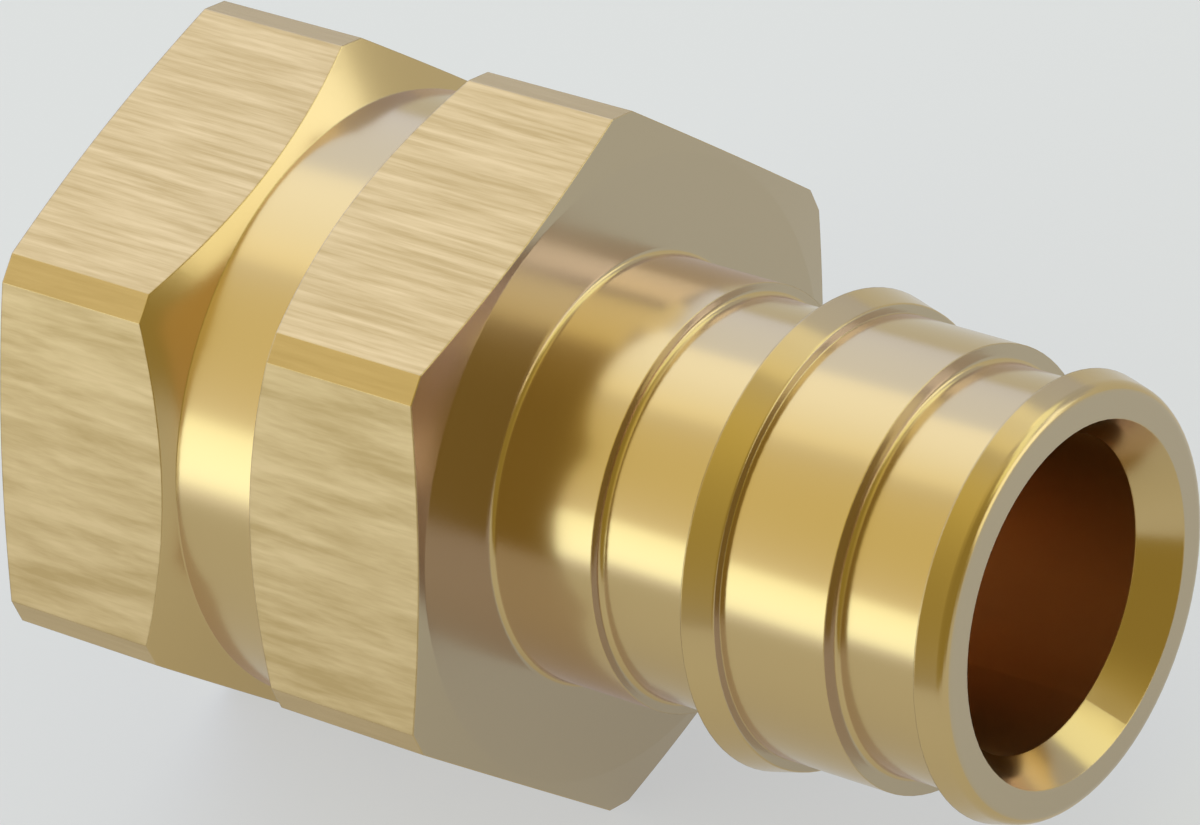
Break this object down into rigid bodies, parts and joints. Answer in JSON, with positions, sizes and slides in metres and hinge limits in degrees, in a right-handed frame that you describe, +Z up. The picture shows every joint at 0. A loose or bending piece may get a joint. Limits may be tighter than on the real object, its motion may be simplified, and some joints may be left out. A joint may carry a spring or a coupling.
{
  "type": "pex female adapter",
  "caption": "Turned brass adapter: a ribbed spigot for expanded PEX tube at one end and a hex-bodied female pipe socket at the other.",
  "frame": {"origin": "on the axis, in the stop face that the tube's end comes up against, which is also the middle of the length", "axes": "+X along the axis from the threaded end towards the spigot's tip, +Z up, square to the hex flat that it lies on"},
  "size_m": [0.0498, 0.0344, 0.0306],
  "materials": {
    "brass": "drawn and lightly brushed on the hex flats, fine turned and bright everywhere else"
  },
  "bodies": {
    "root": {"adapter_body": "brass"}
  },
  "joints": []
}
